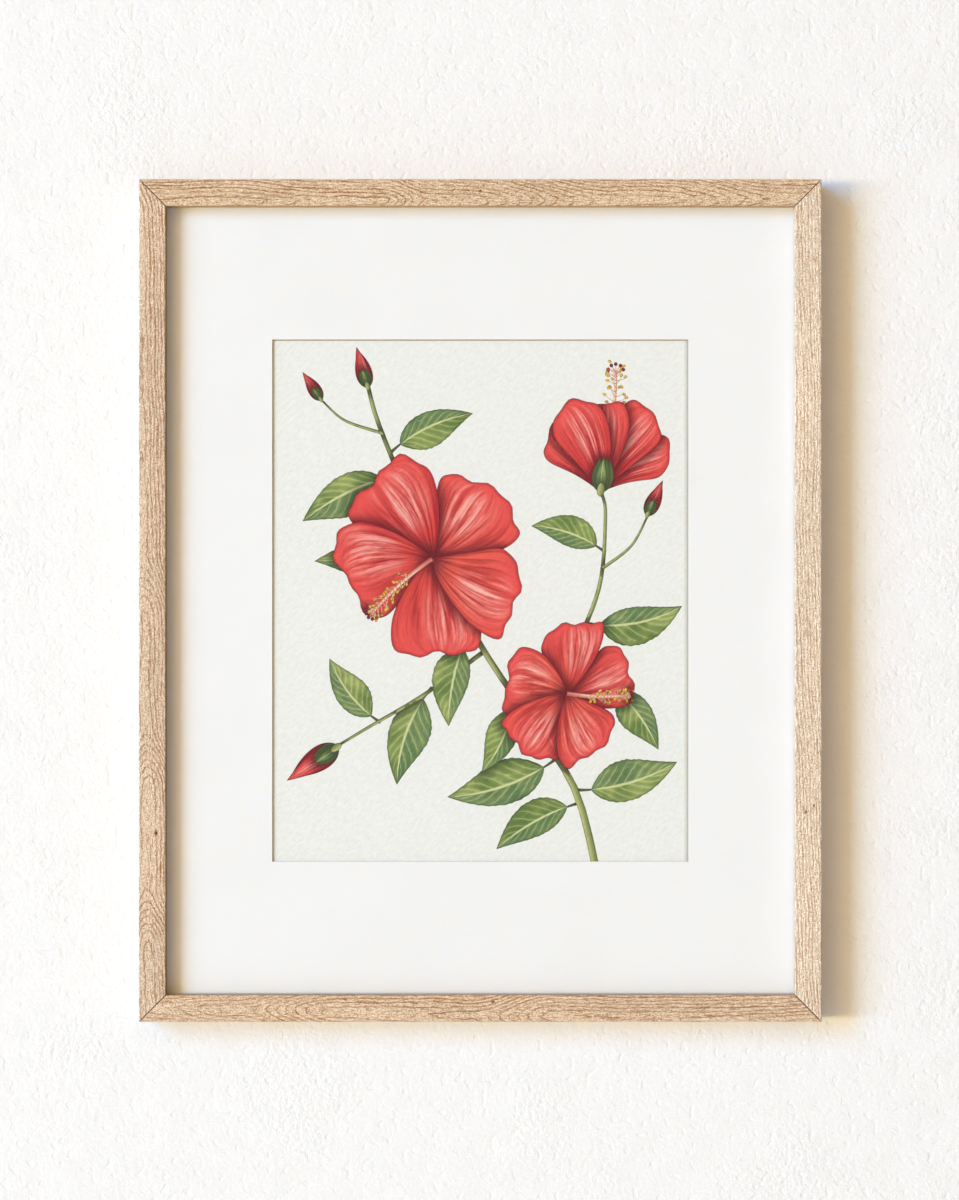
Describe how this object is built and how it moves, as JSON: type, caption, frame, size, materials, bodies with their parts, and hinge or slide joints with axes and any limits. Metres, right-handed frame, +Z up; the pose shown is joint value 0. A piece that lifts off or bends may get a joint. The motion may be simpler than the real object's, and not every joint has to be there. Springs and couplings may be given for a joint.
{
  "type": "framed picture",
  "caption": "Portrait wall picture: mitred oak frame with glass, white mat and a botanical print, held in by turn buttons, with a sawtooth hanger on the back.",
  "frame": {"origin": "the point of the wall plane straight behind the middle notch of the sawtooth hanger, where the wall's hook carries the picture", "axes": "+Z up, +X to the viewer's right, +Y into the wall; the picture faces -Y and the wall is the plane y = 0"},
  "size_m": [0.423, 0.0245, 0.522],
  "materials": {
    "oak": "pale oak, open grain, thin matt oil",
    "glass": "clear picture glass",
    "mat": "white mat board, matt",
    "printed_paper": "cold-pressed paper with a botanical print",
    "paper_tape": "gummed paper tape",
    "board": "plain board",
    "hardboard": "smooth-faced brown hardboard",
    "steel": "zinc-plated",
    "brassed_metal": "thin brass plating on steel, bright",
    "felt": "pressed grey-brown felt"
  },
  "bodies": {
    "frame": {"rail_top": "oak", "rail_bottom": "oak", "rail_left": "oak", "rail_right": "oak", "glazing": "glass", "mat_board": "mat", "print_sheet": "printed_paper", "hinge_tape_left": "paper_tape", "hinge_tape_right": "paper_tape", "mount_board": "board", "filler_board": "board", "backing_board": "hardboard", "v_nail_top_left": "steel", "v_nail_top_right": "steel", "v_nail_bottom_left": "steel", "v_nail_bottom_right": "steel", "button_screw_left_upper": "brassed_metal", "button_screw_left_lower": "brassed_metal", "button_screw_right_upper": "brassed_metal", "button_screw_right_lower": "brassed_metal", "button_screw_top": "brassed_metal", "button_screw_bottom": "brassed_metal", "hanger": "brassed_metal", "hanger_nail_left": "brassed_metal", "hanger_nail_right": "brassed_metal", "bumper_left": "felt", "bumper_right": "felt"},
    "button_left_upper": {"turn_button_left_upper": "brassed_metal"},
    "button_left_lower": {"turn_button_left_lower": "brassed_metal"},
    "button_right_upper": {"turn_button_right_upper": "brassed_metal"},
    "button_right_lower": {"turn_button_right_lower": "brassed_metal"},
    "button_top": {"turn_button_top": "brassed_metal"},
    "button_bottom": {"turn_button_bottom": "brassed_metal"}
  },
  "joints": [
    {"name": "left_upper_swivel", "type": "hinge", "parent": "frame", "child": "button_left_upper", "pos_m": [-0.20625, -0.0024, -0.102], "axis": [0, 1, 0], "range_deg": [-90, 90]},
    {"name": "left_lower_swivel", "type": "hinge", "parent": "frame", "child": "button_left_lower", "pos_m": [-0.20625, -0.0024, -0.402], "axis": [0, 1, 0], "range_deg": [-90, 90]},
    {"name": "right_upper_swivel", "type": "hinge", "parent": "frame", "child": "button_right_upper", "pos_m": [0.20625, -0.0024, -0.102], "axis": [0, 1, 0], "range_deg": [-90, 90]},
    {"name": "right_lower_swivel", "type": "hinge", "parent": "frame", "child": "button_right_lower", "pos_m": [0.20625, -0.0024, -0.402], "axis": [0, 1, 0], "range_deg": [-90, 90]},
    {"name": "top_swivel", "type": "hinge", "parent": "frame", "child": "button_top", "pos_m": [0.08, -0.0024, 0.00375], "axis": [0, 1, 0], "range_deg": [-90, 90]},
    {"name": "bottom_swivel", "type": "hinge", "parent": "frame", "child": "button_bottom", "pos_m": [-0.08, -0.0024, -0.50775], "axis": [0, 1, 0], "range_deg": [-90, 90]}
  ]
}
